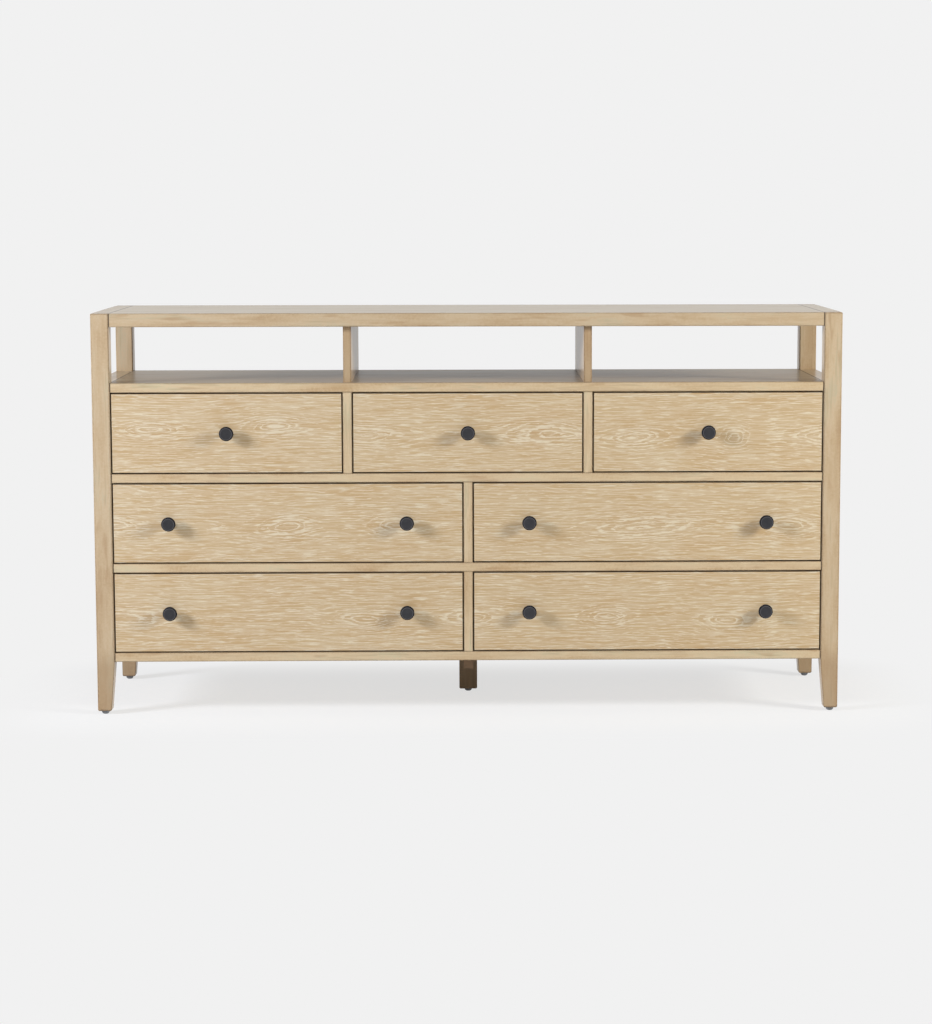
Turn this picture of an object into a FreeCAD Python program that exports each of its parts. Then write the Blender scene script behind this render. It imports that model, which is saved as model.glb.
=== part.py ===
import FreeCAD, Part

# Seven-drawer dresser with an open shelf under its top.
#
# Frame: millimetres, +Z up, +X to the right of someone who faces the drawers, which open
# towards -Y. The origin is on the floor, under the middle of the centre leg.
# Each board, rail, leg, runner and drawer piece is a solid of its own. What enters a piece
# (a tenon, a tongue, a panel edge, a dovetail) cuts its own socket there, so it always fits.

import os
import re

import Sketcher

PARTS_FOLDER = "parts"

doc = FreeCAD.newDocument("dresser")

# Driving sizes
SIZES = {
    # Case
    "case_width": 1676,
    "case_depth": 464,
    "case_height": 905,
    "post_width": 40,
    "post_ease": 1.5,
    "foot_width": 31,
    "foot_ease": 2.5,
    "face_setback": 1,
    "top_thickness": 30,
    "open_bay_height": 125,
    "shelf_thickness": 21,
    "underside_height": 121,
    "rail_thickness": 20,
    "rail_depth": 50,
    "back_rail_depth": 40,
    "stile_width": 20,
    "bearer_width": 40,
    # Joints of the case
    "tenon_length": 12,
    "tenon_thickness": 12,
    "tenon_shoulder": 3,
    "tongue_length": 10,
    "tongue_thickness": 8,
    "tongue_stop": 20,
    "stile_tenon": 7,
    "stile_shoulder": 6,
    # Panels
    "panel_thickness": 12,
    "panel_recess": 8,
    "panel_groove": 8,
    "bottom_thickness": 6,
    "bottom_drop": 2,
    "back_inset": 16,
    "back_thickness": 6,
    "back_rabbet": 10,
    "back_top_drop": 5,
    # Shelf dividers
    "divider_thickness": 18,
    "divider_setback": 15,
    "divider_dado": 6,
    "divider_ease": 1.5,
    # Centre leg and its stretcher
    "centre_leg_width": 42,
    "centre_leg_setback": 40,
    "stretcher_width": 22,
    "stretcher_drop": 28,
    # Glides
    "glide_diameter": 18,
    "glide_height": 8,
    "glide_flat": 9,
    "glide_swell": 15,
    "glide_swell_height": 2.5,
    # Drawers
    "reveal": 2.5,
    "front_thickness": 20,
    "front_ease": 1,
    "drawer_back_gap": 37,
    "side_thickness": 15,
    "drawer_back_thickness": 12,
    "box_lift": 8,
    "box_drop": 20,
    "tail_length": 14,
    "drawer_bottom_thickness": 6,
    "drawer_bottom_lift": 10,
    "drawer_bottom_groove": 6,
    # Runners
    "runner_height": 20,
    "runner_start": 4,
    "runner_seat": 10,
    "channel_depth": 7,
    "runner_gap": 0.4,
    "runner_play": 0.3,
    # Knobs
    "knob_spacing": 533,
    "knob_diameter": 32.5,
    "knob_face_diameter": 27.6,
    "knob_projection": 25,
    "knob_head": 9,
    "knob_edge": 0.8,
    "knob_rim": 0.8,
    "knob_dish": 0.4,
    "knob_neck_diameter": 11,
    "knob_base_diameter": 18,
    "knob_base_depth": 3,
    # Overrun of every cut past the face that it opens
    "overrun": 1,
}

# Counts and slopes
TAIL_COUNT = 4
TAIL_WIDTH_SHARE = 0.62
TAIL_SLOPE_SHARE = 0.125

# Places that follow from the driving sizes
PLACES = {
    "half_width": "case_width / 2",
    "half_depth": "case_depth / 2",
    "inner_side": "half_width - post_width",
    "face": "face_setback - half_depth",
    "front_post_back": "post_width - half_depth",
    "back_post_front": "half_depth - post_width",
    "back_plane": "half_depth - back_inset",
    "rail_back": "face + rail_depth",
    "stile_tenon_back": "rail_back - tongue_length - stile_shoulder",
    "back_rail_front": "back_plane - back_rail_depth",
    "top_underside": "case_height - top_thickness",
    "shelf_height": "top_underside - open_bay_height",
    "shelf_underside": "shelf_height - shelf_thickness",
    "bottom_rail_top": "underside_height + rail_thickness",
    "stretcher_underside": "underside_height - stretcher_drop",
    "row_height": "(shelf_underside - bottom_rail_top - 2 * rail_thickness) / 3",
    "lower_rail_base": "bottom_rail_top + row_height",
    "lower_rail_top": "lower_rail_base + rail_thickness",
    "upper_rail_base": "lower_rail_top + row_height",
    "upper_rail_top": "upper_rail_base + rail_thickness",
    "narrow_opening": "(2 * inner_side - 2 * stile_width) / 3",
    "upper_stile": "(narrow_opening + stile_width) / 2",
    "half_stile": "stile_width / 2",
    "floor_panel_top": "bottom_rail_top - bottom_drop",
    "floor_panel_base": "floor_panel_top - bottom_thickness",
    "panel_outside": "half_width - panel_recess",
    "panel_inside": "panel_outside - panel_thickness",
    "foot_centre_side": "half_width - foot_width / 2",
    "foot_centre_depth": "half_depth - foot_width / 2",
    "front_back": "face + front_thickness",
    "box_back": "back_plane - drawer_back_gap",
    "box_height": "row_height - 2 * reveal - box_lift - box_drop",
    "tail_pitch": f"box_height / {TAIL_COUNT}",
    "runner_front": "front_back + runner_start",
    "runner_back": "back_post_front + runner_seat",
    "runner_width": "reveal + channel_depth - runner_gap",
}


def linked(text):
    """Turn the plain names in an expression into references to the sheet that holds them."""

    def reference(match):
        word = match.group(0)
        if word in SIZES:
            return f"Sizes.{word}"
        if word in PLACES:
            return f"Places.{word}"
        raise ValueError(f"no size or place is called {word}")

    return re.sub(r"[a-z][a-z_]*", reference, text)


def make_sheet(name, cells):
    """A sheet with one named cell in each row."""
    sheet = doc.addObject("Spreadsheet::Sheet", name)
    for row, (alias, content) in enumerate(cells.items(), start=1):
        sheet.set(f"A{row}", alias)
        sheet.set(f"B{row}", content)
        sheet.setAlias(f"B{row}", alias)
    return sheet


sizes = make_sheet("Sizes", {name: str(value) for name, value in SIZES.items()})
places = make_sheet("Places", {name: "=" + linked(text) for name, text in PLACES.items()})
doc.recompute()


def value(text):
    """The present value of an expression, in millimetres."""
    return float(sizes.evalExpression(linked(text)))


def bind(thing, **expressions):
    """Drive properties of an object by expressions in the names of the sheets."""
    for name, text in expressions.items():
        thing.setExpression(name, linked(text))


def place(thing, x="0", y="0", z="0"):
    """Put an object at a point that follows the sheets."""
    for axis, text in zip("xyz", (x, y, z)):
        thing.setExpression(f"Placement.Base.{axis}", linked(text))


def mirrored(side, low, high):
    """The span from low to high on the right, or its mirror image on the left."""
    if side > 0:
        return low, high
    return f"-({high})", f"-({low})"


def about(centre, width):
    """The span of a width about a centre."""
    return f"{centre} - ({width}) / 2", f"{centre} + ({width}) / 2"


# Boards and joints


def board(label, x, y, z):
    """A straight board, from the low to the high plane of each span."""
    box = doc.addObject("Part::Box", label)
    bind(
        box,
        Length=f"({x[1]}) - ({x[0]})",
        Width=f"({y[1]}) - ({y[0]})",
        Height=f"({z[1]}) - ({z[0]})",
    )
    place(box, x[0], y[0], z[0])
    return box


def joined(label, *pieces):
    """Boards that are one piece of wood, such as a rail and its tenons."""
    whole = doc.addObject("Part::MultiFuse", label)
    whole.Shapes = list(pieces)
    whole.Refine = True
    return whole


def socketed(label, blank, *entering):
    """A piece with a socket for everything that enters it."""
    tool = entering[0]
    if len(entering) > 1:
        tool = doc.addObject("Part::MultiFuse", f"{label}_sockets")
        tool.Shapes = list(entering)
    cut = doc.addObject("Part::Cut", label)
    cut.Base = blank
    cut.Tool = tool
    cut.Refine = True
    return cut


def grouped(label, *pieces):
    """Like pieces that share one name and stay separate solids."""
    group = doc.addObject("Part::Compound", label)
    group.Links = list(pieces)
    return group


# Sketches and bodies


def new_body(label):
    return doc.addObject("PartDesign::Body", label)


def origin_feature(body, role):
    return next(f for f in body.Origin.OriginFeatures if f.Role == role)


def outline(body, plane, name, points):
    """A closed sketch of straight lines whose every corner follows the sheets."""
    sketch = body.newObject("Sketcher::SketchObject", f"{body.Label}_{name}")
    sketch.AttachmentSupport = [(origin_feature(body, plane), "")]
    sketch.MapMode = "FlatFace"
    corners = [FreeCAD.Vector(value(x), value(y), 0) for x, y in points]
    count = len(points)
    for index, corner in enumerate(corners):
        sketch.addGeometry(Part.LineSegment(corner, corners[(index + 1) % count]))
    for index in range(count):
        sketch.addConstraint(Sketcher.Constraint("Coincident", index, 2, (index + 1) % count, 1))
    for index, (corner, point) in enumerate(zip(corners, points)):
        for kind, place_now, text in zip(("DistanceX", "DistanceY"), corner, point):
            number = sketch.addConstraint(Sketcher.Constraint(kind, -1, 1, index, 1, place_now))
            if text != "0":
                sketch.setExpression(f"Constraints[{number}]", linked(text))
    return sketch


def feature(body, kind, name, sketch, backwards=False, **expressions):
    """A sketched feature of a body, such as a pad, a pocket or a revolution."""
    made = body.newObject(f"PartDesign::{kind}", f"{body.Label}_{name}")
    made.Profile = (sketch, [""])
    made.Reversed = backwards
    bind(made, **expressions)
    return made


def face_towards(shape, direction):
    """The name of the face that lies furthest in a direction."""
    reach = [face.CenterOfMass.dot(direction) for face in shape.Faces]
    return f"Face{reach.index(max(reach)) + 1}"


def eased(body, name, base, direction, size):
    """Chamfer every edge of the face that lies furthest in a direction."""
    doc.recompute()
    chamfer = body.newObject("PartDesign::Chamfer", f"{body.Label}_{name}")
    chamfer.Base = (base, [face_towards(base.Shape, direction)])
    bind(chamfer, Size=size)
    return chamfer


UP = FreeCAD.Vector(0, 0, 1)
DOWN = FreeCAD.Vector(0, 0, -1)
FORWARDS = FreeCAD.Vector(0, -1, 0)

exported = []


def keep(thing):
    """Hand a finished piece in under its own label."""
    exported.append(thing)
    return thing


# Rails, panels and partitions

SIDES = {"left": -1, "right": 1}
FULL_WIDTH = ("-inner_side", "inner_side")
FRONT_RAIL_DEPTH = ("face", "rail_back")
BACK_RAIL_DEPTH = ("back_rail_front", "back_plane")
FRONT_TENON_DEPTH = (
    "front_post_back - tenon_shoulder - tenon_thickness",
    "front_post_back - tenon_shoulder",
)
BACK_TENON_DEPTH = (
    "back_post_front + tenon_shoulder",
    "back_post_front + tenon_shoulder + tenon_thickness",
)
TENON_WIDTH = ("-inner_side - tenon_length", "inner_side + tenon_length")


def cross_rail(label, depth, tenon_depth, base):
    """A rail between left and right posts, with a tenon at each end."""
    rail = board(f"{label}_rail", FULL_WIDTH, depth, (base, f"{base} + rail_thickness"))
    tenon_height = (f"{base} + tenon_shoulder", f"{base} + rail_thickness - tenon_shoulder")
    tenons = board(f"{label}_tenons", TENON_WIDTH, tenon_depth, tenon_height)
    return joined(f"{label}_blank", rail, tenons)


def side_rail(side, label, base, top, tenon_base, tenon_top):
    """A rail between a front and a back post, with tenons in line with the side panel."""
    width = mirrored(side, "inner_side", "half_width")
    tenon_width = mirrored(side, "panel_inside", "panel_outside")
    rail = board(f"{label}_rail", width, ("front_post_back", "back_post_front"), (base, top))
    tenon_depth = ("front_post_back - tenon_length", "back_post_front + tenon_length")
    tenons = board(f"{label}_tenons", tenon_width, tenon_depth, (tenon_base, tenon_top))
    return joined(f"{label}_blank", rail, tenons)


def slab(label, base, thickness, back):
    """A wide panel between the posts, with a stopped tongue along each end."""
    panel = board(f"{label}_slab", FULL_WIDTH, ("face", back), (base, f"{base} + {thickness}"))
    tongues = board(
        f"{label}_tongues",
        ("-inner_side - tongue_length", "inner_side + tongue_length"),
        ("face + tongue_stop", f"{back} - tongue_stop"),
        about(f"{base} + {thickness} / 2", "tongue_thickness"),
    )
    return joined(f"{label}_blank", panel, tongues)


def shelf_divider(side, label):
    """An upright between shelf and top, let into both, with its front edges eased."""
    body = new_body(label)
    half = "divider_thickness / 2"
    depth = "back_plane - face - divider_setback"
    plan = outline(
        body,
        "XY_Plane",
        "plan",
        [
            (f"divider_ease - {half}", "0"),
            (f"{half} - divider_ease", "0"),
            (half, "divider_ease"),
            (half, depth),
            (f"-{half}", depth),
            (f"-{half}", "divider_ease"),
        ],
    )
    height = "top_underside - shelf_height + 2 * divider_dado"
    feature(body, "Pad", "upright", plan, Length=height)
    x = "upper_stile" if side > 0 else "-upper_stile"
    place(body, x, "face + divider_setback", "shelf_height - divider_dado")
    return body


def stile(label, centre, base, top):
    """A short upright between two rails, with a stub tenon at each end."""
    upright = board(f"{label}_upright", about(centre, "stile_width"), FRONT_RAIL_DEPTH, (base, top))
    tenons = board(
        f"{label}_tenons",
        about(centre, "stile_width - 2 * stile_shoulder"),
        ("face + stile_shoulder", "stile_tenon_back"),
        (f"{base} - stile_tenon", f"{top} + stile_tenon"),
    )
    return joined(label, upright, tenons)


def bearer(label, centre):
    """A board from front to back rail that carries a partition."""
    tenon_height = (
        "upper_rail_base + 2 * tenon_shoulder",
        "upper_rail_top - 2 * tenon_shoulder",
    )
    plank = board(
        f"{label}_plank",
        about(centre, "bearer_width"),
        ("rail_back", "back_rail_front"),
        ("upper_rail_base", "upper_rail_top"),
    )
    tongues = board(
        f"{label}_tongues",
        about(centre, "bearer_width - 2 * tenon_shoulder"),
        ("rail_back - tongue_length", "back_rail_front + tongue_length"),
        tenon_height,
    )
    return joined(label, plank, tongues)


top_blank = slab("top_panel", "top_underside", "top_thickness", "half_depth - face_setback")
shelf_blank = slab("shelf_panel", "shelf_underside", "shelf_thickness", "back_plane")
upper_front_blank = cross_rail(
    "upper_front_rail", FRONT_RAIL_DEPTH, FRONT_TENON_DEPTH, "upper_rail_base"
)
lower_front_blank = cross_rail(
    "lower_front_rail", FRONT_RAIL_DEPTH, FRONT_TENON_DEPTH, "lower_rail_base"
)
bottom_front_blank = cross_rail(
    "bottom_front_rail", FRONT_RAIL_DEPTH, FRONT_TENON_DEPTH, "underside_height"
)
upper_back_blank = cross_rail(
    "upper_back_rail", BACK_RAIL_DEPTH, BACK_TENON_DEPTH, "upper_rail_base"
)
bottom_back_blank = cross_rail(
    "bottom_back_rail", BACK_RAIL_DEPTH, BACK_TENON_DEPTH, "underside_height"
)

bottom_panel = keep(
    board(
        "bottom_panel",
        ("-inner_side - panel_groove", "inner_side + panel_groove"),
        ("rail_back - panel_groove", "back_rail_front + panel_groove"),
        ("floor_panel_base", "floor_panel_top"),
    )
)
back_panel = keep(
    board(
        "back_panel",
        ("-inner_side - back_rabbet", "inner_side + back_rabbet"),
        ("back_plane", "back_plane + back_thickness"),
        ("underside_height", "shelf_height - back_top_drop"),
    )
)
back_rabbet = board(
    "back_rabbet_cut",
    ("-inner_side - back_rabbet", "inner_side + back_rabbet"),
    ("back_plane", "half_depth + overrun"),
    ("underside_height", "shelf_height - back_top_drop"),
)

dividers = {name: keep(shelf_divider(side, f"{name}_shelf_divider")) for name, side in SIDES.items()}

stiles = {
    "upper_left": stile("upper_left_stile", "-upper_stile", "upper_rail_top", "shelf_underside"),
    "upper_right": stile("upper_right_stile", "upper_stile", "upper_rail_top", "shelf_underside"),
    "middle": stile("middle_stile", "0", "lower_rail_top", "upper_rail_base"),
    "lower": stile("lower_stile", "0", "bottom_rail_top", "lower_rail_base"),
}
keep(grouped("stiles", *stiles.values()))

bearers = [
    bearer("left_bearer", "-upper_stile"),
    bearer("middle_bearer", "0"),
    bearer("right_bearer", "upper_stile"),
]
keep(grouped("cross_bearers", *bearers))

upper_partitions = [
    board(
        f"{name}_upper_partition",
        about("upper_stile" if side > 0 else "-upper_stile", "stile_width"),
        ("rail_back", "back_plane"),
        ("upper_rail_top", "shelf_underside"),
    )
    for name, side in SIDES.items()
]
keep(grouped("upper_partitions", *upper_partitions))

# Centre stretcher, under the bottom panel and let into both bottom rails
stretcher_bar = board(
    "centre_stretcher_bar",
    about("0", "stretcher_width"),
    ("rail_back", "back_rail_front"),
    ("stretcher_underside", "floor_panel_base"),
)
stretcher_tenons = board(
    "centre_stretcher_tenons",
    about("0", "stretcher_width - 2 * tenon_shoulder"),
    ("rail_back - tongue_length", "back_rail_front + tongue_length"),
    ("underside_height + tenon_shoulder", "floor_panel_base - tenon_shoulder"),
)
centre_stretcher = keep(joined("centre_stretcher", stretcher_bar, stretcher_tenons))

side_panels = {}
side_rails = {}
for name, side in SIDES.items():
    side_panels[name] = keep(
        board(
            f"{name}_side_panel",
            mirrored(side, "panel_inside", "panel_outside"),
            ("front_post_back - panel_groove", "back_post_front + panel_groove"),
            ("bottom_rail_top - panel_groove", "shelf_underside + panel_groove"),
        )
    )
    top_rail = side_rail(
        side,
        f"{name}_top_side_rail",
        "top_underside",
        "case_height",
        "top_underside + tenon_shoulder",
        "case_height - panel_groove",
    )
    shelf_rail = side_rail(
        side,
        f"{name}_shelf_side_rail",
        "shelf_underside",
        "shelf_height",
        "shelf_underside + panel_groove",
        "shelf_height - tenon_shoulder",
    )
    bottom_rail = side_rail(
        side,
        f"{name}_bottom_side_rail",
        "underside_height",
        "bottom_rail_top",
        "underside_height + tenon_shoulder",
        "bottom_rail_top - panel_groove",
    )
    side_rails[name] = (top_rail, shelf_rail, bottom_rail)
    keep(socketed(f"{name}_top_side_rail", top_rail, top_blank))
    keep(socketed(f"{name}_shelf_side_rail", shelf_rail, shelf_blank, side_panels[name]))
    keep(socketed(f"{name}_bottom_side_rail", bottom_rail, bottom_panel, side_panels[name]))

keep(socketed("top_panel", top_blank, *dividers.values()))
keep(
    socketed(
        "shelf_panel",
        shelf_blank,
        *dividers.values(),
        stiles["upper_left"],
        stiles["upper_right"],
    )
)
keep(socketed("upper_front_rail", upper_front_blank, *stiles.values(), *bearers))
keep(socketed("lower_front_rail", lower_front_blank, stiles["middle"], stiles["lower"]))
keep(
    socketed(
        "bottom_front_rail", bottom_front_blank, stiles["lower"], bottom_panel, centre_stretcher
    )
)
keep(socketed("upper_back_rail", upper_back_blank, *bearers))
bottom_back_rail = keep(
    socketed("bottom_back_rail", bottom_back_blank, bottom_panel, centre_stretcher)
)

centre_board = board(
    "centre_board",
    about("0", "stile_width"),
    ("rail_back", "back_plane"),
    ("floor_panel_top", "upper_rail_base"),
)
keep(socketed("centre_partition", centre_board, bottom_back_rail))

# Glides, legs and posts


def turned_piece(label, plane, profile, x, y, z):
    """A piece turned about the upright axis of its profile's plane."""
    body = new_body(label)
    half_section = outline(body, plane, "profile", profile)
    turned = feature(body, "Revolution", "turned", half_section)
    turned.ReferenceAxis = (half_section, ["V_Axis"])
    place(body, x, y, z)
    return body


def glide(label, x, y):
    """A nail-on glide: a dome with a small flat where it meets the floor."""
    profile = [
        ("0", "0"),
        ("glide_flat / 2", "0"),
        ("glide_swell / 2", "glide_swell_height"),
        ("glide_diameter / 2", "glide_height"),
        ("0", "glide_height"),
    ]
    return turned_piece(label, "XZ_Plane", profile, x, y, "0")


def post(label, corner_x, corner_y, quarter_turns):
    """A square post with eased edges, whose two inner faces taper below the case."""
    body = new_body(f"{label}_blank")
    ease = "post_ease"
    far = "post_width"
    square = outline(
        body,
        "XY_Plane",
        "section",
        [
            (ease, "0"),
            (f"{far} - {ease}", "0"),
            (far, ease),
            (far, f"{far} - {ease}"),
            (f"{far} - {ease}", far),
            (ease, far),
            ("0", f"{far} - {ease}"),
            ("0", ease),
        ],
    )
    shaft = feature(body, "Pad", "shaft", square, Length="case_height - glide_height")
    taper_height = "underside_height - glide_height"
    taper = [
        ("foot_width", "0"),
        ("post_width", taper_height),
        ("post_width + overrun", taper_height),
        ("post_width + overrun", "-overrun"),
        ("foot_width", "-overrun"),
    ]
    side_wedge = outline(body, "XZ_Plane", "side_taper", taper)
    depth_wedge = outline(body, "YZ_Plane", "depth_taper", taper)
    side_cut = feature(body, "Pocket", "side_taper_cut", side_wedge)
    side_cut.Type = "ThroughAll"
    depth_cut = feature(body, "Pocket", "depth_taper_cut", depth_wedge, True)
    depth_cut.Type = "ThroughAll"
    doc.recompute()
    if not depth_cut.Shape.Volume < side_cut.Shape.Volume < shaft.Shape.Volume:
        raise RuntimeError(f"{label} has a taper that cuts nothing")
    eased_top = eased(body, "eased_top", depth_cut, UP, "post_ease")
    body.Tip = eased(body, "eased_foot", eased_top, DOWN, "foot_ease")
    body.Placement.Rotation = FreeCAD.Rotation(UP, 90 * quarter_turns)
    place(body, corner_x, corner_y, "glide_height")
    return body


front_rail_blanks = (upper_front_blank, lower_front_blank, bottom_front_blank)
back_rail_blanks = (upper_back_blank, bottom_back_blank, back_rabbet)
corner_posts = {
    "left_front_post": ("-half_width", "-half_depth", 0, "left", front_rail_blanks),
    "right_front_post": ("half_width", "-half_depth", 1, "right", front_rail_blanks),
    "right_back_post": ("half_width", "half_depth", 2, "right", back_rail_blanks),
    "left_back_post": ("-half_width", "half_depth", 3, "left", back_rail_blanks),
}
glides = [glide("centre_leg_glide", "0", "centre_leg_setback")]
for label, (corner_x, corner_y, quarter_turns, name, cross_rails) in corner_posts.items():
    foot_x = "foot_centre_side" if name == "right" else "-foot_centre_side"
    foot_y = "-foot_centre_depth" if "front" in label else "foot_centre_depth"
    glides.append(glide(f"{label}_glide", foot_x, foot_y))
    keep(
        socketed(
            label,
            post(label, corner_x, corner_y, quarter_turns),
            *cross_rails,
            *side_rails[name],
            top_blank,
            shelf_blank,
            bottom_panel,
            side_panels[name],
        )
    )

keep(grouped("glides", *glides))

centre_leg_body = new_body("centre_leg_blank")
centre_leg_section = outline(
    centre_leg_body,
    "XY_Plane",
    "section",
    [
        ("0", "0"),
        ("centre_leg_width", "0"),
        ("centre_leg_width", "centre_leg_width"),
        ("0", "centre_leg_width"),
    ],
)
centre_leg_shaft = feature(
    centre_leg_body, "Pad", "shaft", centre_leg_section, Length="floor_panel_base - glide_height"
)
centre_leg_body.Tip = eased(centre_leg_body, "eased_foot", centre_leg_shaft, DOWN, "foot_ease")
place(
    centre_leg_body,
    "-centre_leg_width / 2",
    "centre_leg_setback - centre_leg_width / 2",
    "glide_height",
)
keep(socketed("centre_leg", centre_leg_body, centre_stretcher))

# Drawers


def drawer_side(label, low):
    """A drawer side: tails for the front and for the back, each one tail repeated upwards."""
    body = new_body(f"{label}_blank")
    length = "box_back - drawer_back_thickness - front_back"
    elevation = outline(
        body,
        "YZ_Plane",
        "elevation",
        [("0", "0"), (length, "0"), (length, "box_height"), ("0", "box_height")],
    )
    feature(body, "Pad", "plank", elevation, Length="side_thickness")
    half_tip = f"tail_pitch * {TAIL_WIDTH_SHARE / 2}"
    ends = {
        "front": ("0", "-tail_length", f"{half_tip} - tail_length * {TAIL_SLOPE_SHARE}"),
        "back": (
            length,
            f"{length} + drawer_back_thickness",
            f"{half_tip} - drawer_back_thickness * {TAIL_SLOPE_SHARE}",
        ),
    }
    for end, (shoulder, tip, half_root) in ends.items():
        middle = "tail_pitch / 2"
        tail_outline = outline(
            body,
            "YZ_Plane",
            f"{end}_tail_outline",
            [
                (shoulder, f"{middle} - ({half_root})"),
                (tip, f"{middle} - {half_tip}"),
                (tip, f"{middle} + {half_tip}"),
                (shoulder, f"{middle} + ({half_root})"),
            ],
        )
        tail = feature(body, "Pad", f"{end}_tail", tail_outline, Length="side_thickness")
        tails = body.newObject("PartDesign::LinearPattern", f"{label}_{end}_tails")
        tails.Originals = [tail]
        tails.Direction = (origin_feature(body, "Z_Axis"), [""])
        tails.Occurrences = TAIL_COUNT
        bind(tails, Length=f"tail_pitch * {TAIL_COUNT - 1}")
        body.Tip = tails
    place(body, low[0], low[1], low[2])
    return body


def drawer_front(label, x, z):
    """A drawer front with its outer edges eased."""
    body = new_body(f"{label}_blank")
    width = f"({x[1]}) - ({x[0]})"
    height = f"({z[1]}) - ({z[0]})"
    elevation = outline(
        body,
        "XZ_Plane",
        "elevation",
        [("0", "0"), (width, "0"), (width, height), ("0", height)],
    )
    plank = feature(body, "Pad", "plank", elevation, True, Length="front_thickness")
    body.Tip = eased(body, "eased_edges", plank, FORWARDS, "front_ease")
    place(body, x[0], "face", z[0])
    return body


def knob(label, x, z):
    """A turned knob: base, waist, and a head that tapers to a face with a thin rim."""
    face = "knob_face_diameter / 2"
    profile = [
        ("0", "0"),
        ("knob_base_diameter / 2", "0"),
        ("knob_neck_diameter / 2", "-knob_base_depth"),
        ("knob_neck_diameter / 2", "knob_head - knob_projection"),
        ("knob_diameter / 2", "knob_head - knob_projection"),
        (face, "knob_edge - knob_projection"),
        (f"{face} - knob_edge", "-knob_projection"),
        (f"{face} - knob_edge - knob_rim", "knob_dish - knob_projection"),
        ("0", "knob_dish - knob_projection"),
    ]
    return turned_piece(label, "XY_Plane", profile, x, "face", z)


runners = []


def drawer(name, opening, opening_base, knob_places):
    """One drawer in its opening, and the two runners that carry it."""
    left, right = (f"({edge})" for edge in opening)
    x = (f"{left} + reveal", f"{right} - reveal")
    z = (f"{opening_base} + reveal", f"{opening_base} + row_height - reveal")
    box_base = f"{opening_base} + reveal + box_lift"
    runner_middle = f"{box_base} + box_height / 2"
    runner_height = about(runner_middle, "runner_height")
    channel_height = about(runner_middle, "runner_height + 2 * runner_play")
    channel_depth = ("runner_front - runner_play", "box_back + overrun")
    bottom_base = f"{box_base} + drawer_bottom_lift"

    bottom = keep(
        board(
            f"{name}_drawer_bottom",
            (
                f"{x[0]} + side_thickness - drawer_bottom_groove",
                f"{x[1]} - side_thickness + drawer_bottom_groove",
            ),
            (
                "front_back - drawer_bottom_groove",
                "box_back - drawer_back_thickness + drawer_bottom_groove",
            ),
            (bottom_base, f"{bottom_base} + drawer_bottom_thickness"),
        )
    )

    sides = {
        "left": (
            f"{x[0]}",
            (f"{x[0]} - overrun", f"{x[0]} + channel_depth"),
            (left, f"{left} + runner_width"),
        ),
        "right": (
            f"{x[1]} - side_thickness",
            (f"{x[1]} - channel_depth", f"{x[1]} + overrun"),
            (f"{right} - runner_width", right),
        ),
    }
    side_blanks = []
    side_boards = []
    for hand, (side_x, channel_x, runner_x) in sides.items():
        label = f"{name}_{hand}_side"
        blank = drawer_side(label, (side_x, "front_back", box_base))
        channel = board(f"{label}_channel", channel_x, channel_depth, channel_height)
        side_blanks.append(blank)
        side_boards.append(socketed(label, blank, channel, bottom))
        runners.append(
            board(f"{name}_{hand}_runner", runner_x, ("runner_front", "runner_back"), runner_height)
        )
    back_board = board(
        f"{name}_back_blank",
        x,
        ("box_back - drawer_back_thickness", "box_back"),
        (box_base, f"{box_base} + box_height"),
    )
    channels = [doc.getObject(f"{name}_{hand}_side_channel") for hand in SIDES]
    back = socketed(f"{name}_back", back_board, *side_blanks, *channels, bottom)
    keep(grouped(f"{name}_drawer_box", *side_boards, back))

    knob_z = f"{opening_base} + row_height / 2"
    knobs = [
        knob(f"{name}_turned_knob_{number}", knob_x, knob_z)
        for number, knob_x in enumerate(knob_places, start=1)
    ]
    keep(grouped(f"{name}_drawer_{'knobs' if len(knobs) > 1 else 'knob'}", *knobs))
    front_blank = drawer_front(f"{name}_drawer_front", x, z)
    keep(socketed(f"{name}_drawer_front", front_blank, *side_blanks, bottom))


LEFT_OPENING = ("-inner_side", "-half_stile")
RIGHT_OPENING = ("half_stile", "inner_side")
UPPER_OPENINGS = {
    "upper_left": ("-inner_side", "-upper_stile - half_stile"),
    "upper_middle": ("half_stile - upper_stile", "upper_stile - half_stile"),
    "upper_right": ("upper_stile + half_stile", "inner_side"),
}
WIDE_ROWS = {"middle": "lower_rail_top", "lower": "bottom_rail_top"}

for name, opening in UPPER_OPENINGS.items():
    centre = f"(({opening[0]}) + ({opening[1]})) / 2"
    drawer(name, opening, "upper_rail_top", [centre])
for row, base in WIDE_ROWS.items():
    for hand, opening in (("left", LEFT_OPENING), ("right", RIGHT_OPENING)):
        centre = f"(({opening[0]}) + ({opening[1]})) / 2"
        pair = [f"{centre} - knob_spacing / 2", f"{centre} + knob_spacing / 2"]
        drawer(f"{row}_{hand}", opening, base, pair)
keep(grouped("drawer_runners", *runners))

# Check and write

doc.recompute()
for thing in doc.Objects:
    if "Invalid" in thing.State or "Error" in thing.State:
        raise RuntimeError(f"{thing.Label} failed: {thing.State}")

os.makedirs(PARTS_FOLDER, exist_ok=True)
for thing in exported:
    if thing.Shape.isNull() or not thing.Shape.isValid():
        raise RuntimeError(f"{thing.Label} has no valid shape")
    thing.Shape.exportStep(os.path.join(PARTS_FOLDER, f"{thing.Label}.step"))
print(f"{len(exported)} pieces written")
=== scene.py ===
# %% [markdown]
# # A dresser with seven drawers and an open shelf
#
# The joiner's model of this dresser is already finished: every board, rail, leg and drawer piece
# is loaded as it is, and rides on the part that moves it. What is left is the work of the
# finisher and the photographer: limed oak fronts, a smooth pale frame, turned metal knobs,
# a quiet studio and a camera. Each step below says what the real thing is before it makes it.

# %% Load the finished joinery
import math

import bmesh
import bpy
from mathutils import Matrix, Vector


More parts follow.
